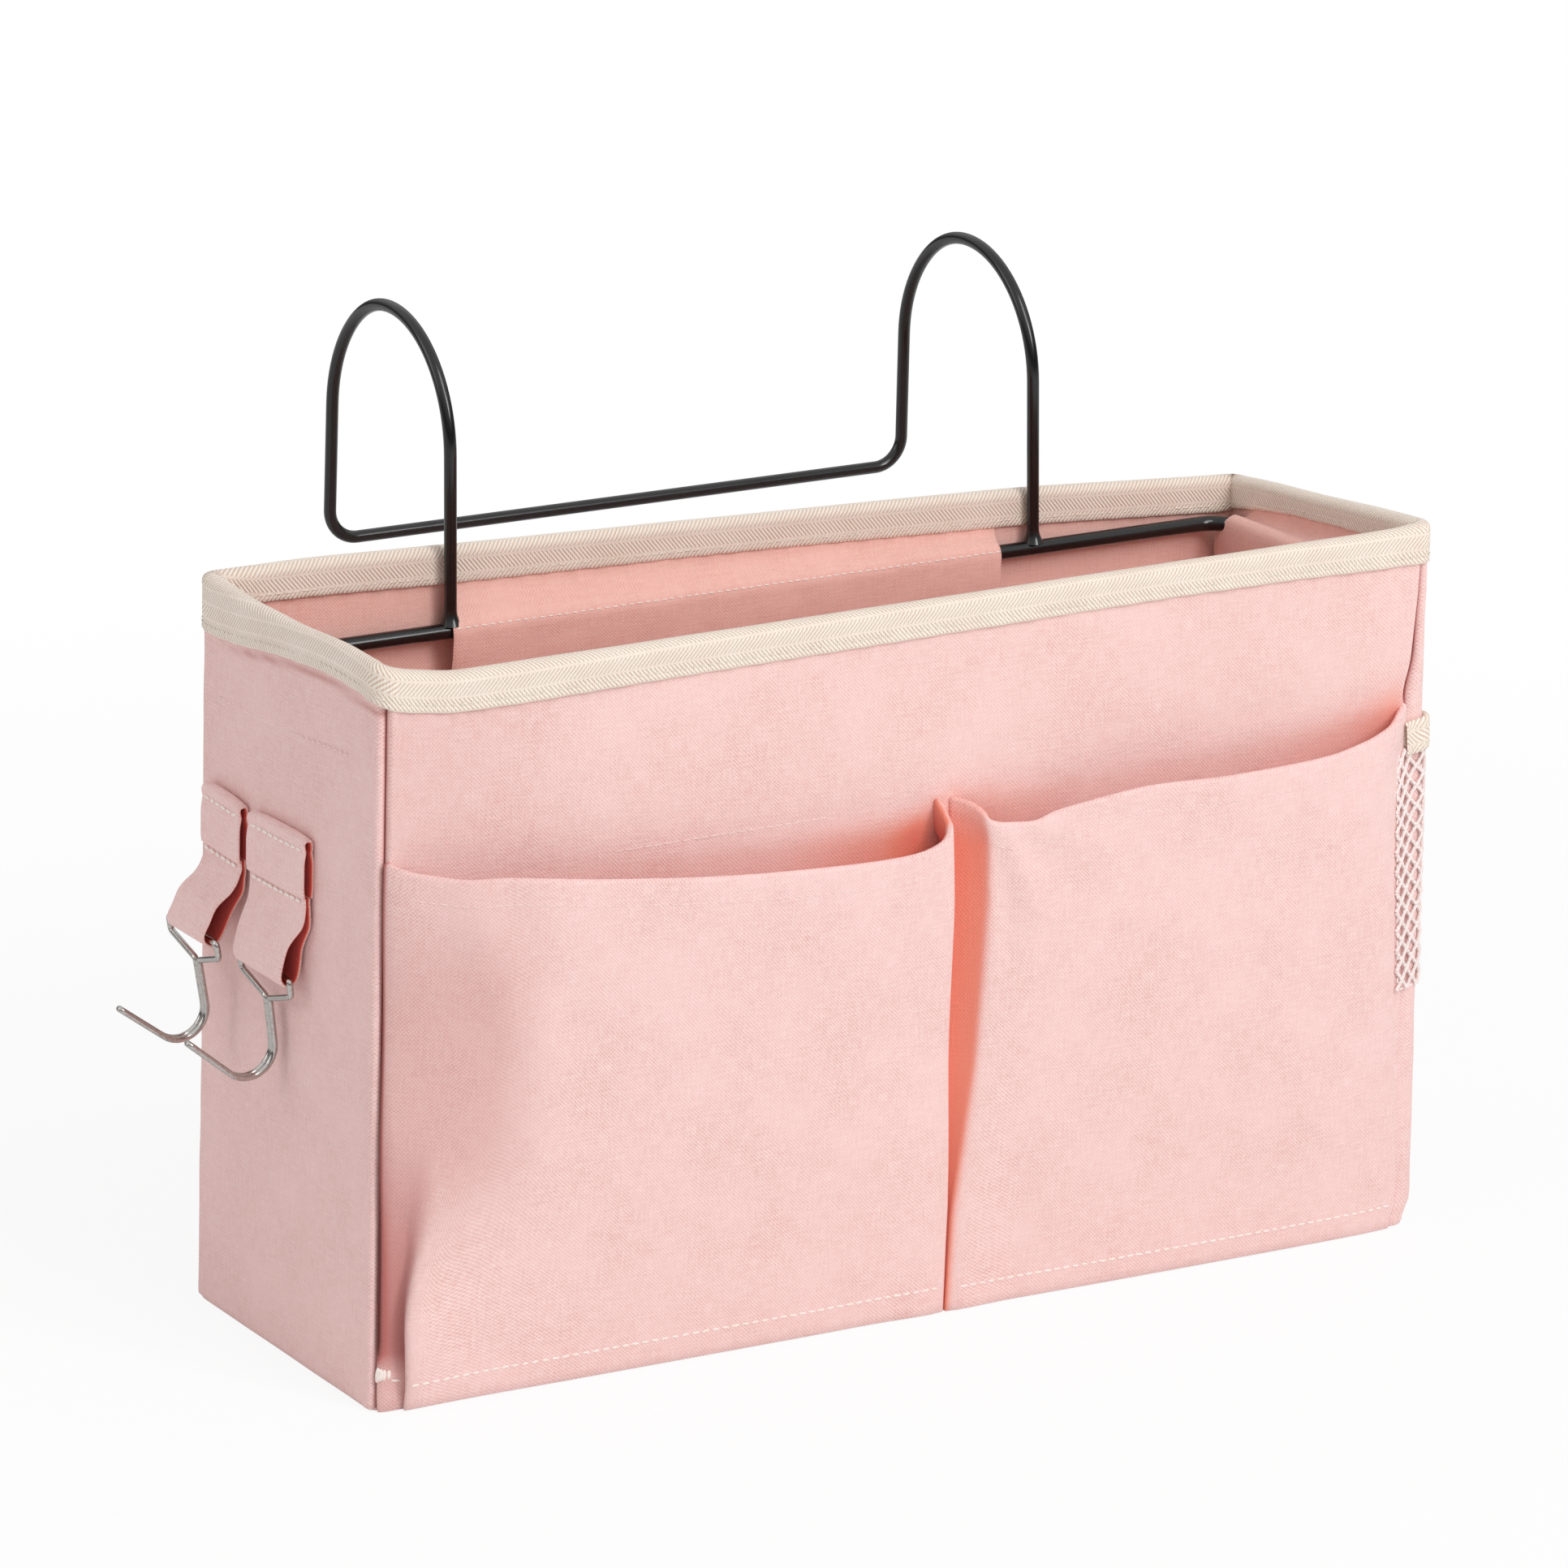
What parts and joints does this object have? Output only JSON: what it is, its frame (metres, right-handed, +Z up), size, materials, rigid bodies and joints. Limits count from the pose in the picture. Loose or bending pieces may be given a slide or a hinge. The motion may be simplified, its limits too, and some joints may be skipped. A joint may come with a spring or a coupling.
{
  "type": "hanging pocket organizer",
  "caption": "Stiffened canvas caddy with front bellows pockets, a net side pocket and key hooks, on a bent-wire hanger that hooks over a bed rail.",
  "frame": {"origin": "centre of the base, on the surface that the caddy stands on", "axes": "+X to the right seen from the pocket side, +Y to the rear, towards the rail, +Z up"},
  "size_m": [0.4299, 0.2085, 0.3069],
  "materials": {
    "canvas": "plain-woven pink canvas, matt",
    "lining": "plain-woven pink lining, matt",
    "stiffener": "grey board, hidden between canvas and lining",
    "binding_tape": "cream herringbone cotton tape",
    "net": "white knitted polyester net",
    "hanger_coating": "glossy black coated steel wire",
    "hook_chrome": "bright nickel-plated wire"
  },
  "bodies": {
    "root": {"front_panel": "canvas", "back_panel": "canvas", "left_side_panel": "canvas", "right_side_panel": "canvas", "base_panel": "canvas", "left_pocket": "canvas", "right_pocket": "canvas", "front_strap_base": "canvas", "rear_strap_base": "canvas", "front_lining": "lining", "back_lining": "lining", "left_lining": "lining", "right_lining": "lining", "base_lining": "lining", "front_facing": "lining", "left_facing": "lining", "right_facing": "lining", "back_sleeve": "lining", "front_board": "stiffener", "back_board": "stiffener", "left_board": "stiffener", "right_board": "stiffener", "base_board": "stiffener", "rim_binding": "binding_tape", "net_binding": "binding_tape", "side_net": "net", "carrier_ring": "hanger_coating", "hanger_wire": "hanger_coating"},
    "front_loop": {"front_strap_loop": "canvas"},
    "front_hook": {"front_key_hook": "hook_chrome"},
    "rear_loop": {"rear_strap_loop": "canvas"},
    "rear_hook": {"rear_key_hook": "hook_chrome"}
  },
  "joints": [
    {"name": "front_loop_swing", "type": "hinge", "parent": "root", "child": "front_loop", "pos_m": [-0.192, 0.0025, 0.147], "axis": [0, 1, 0], "range_deg": [-2, 75]},
    {"name": "front_hook_swing", "type": "hinge", "parent": "front_loop", "child": "front_hook", "pos_m": [-0.1967, 0.0025, 0.12489], "axis": [0, 1, 0], "range_deg": [-1.5, 80]},
    {"name": "rear_loop_swing", "type": "hinge", "parent": "root", "child": "rear_loop", "pos_m": [-0.192, 0.0385, 0.147], "axis": [0, 1, 0], "range_deg": [-6, 55]},
    {"name": "rear_hook_swing", "type": "hinge", "parent": "rear_loop", "child": "rear_hook", "pos_m": [-0.2033, 0.0385, 0.12743], "axis": [0, 1, 0], "range_deg": [-6, 80]}
  ]
}
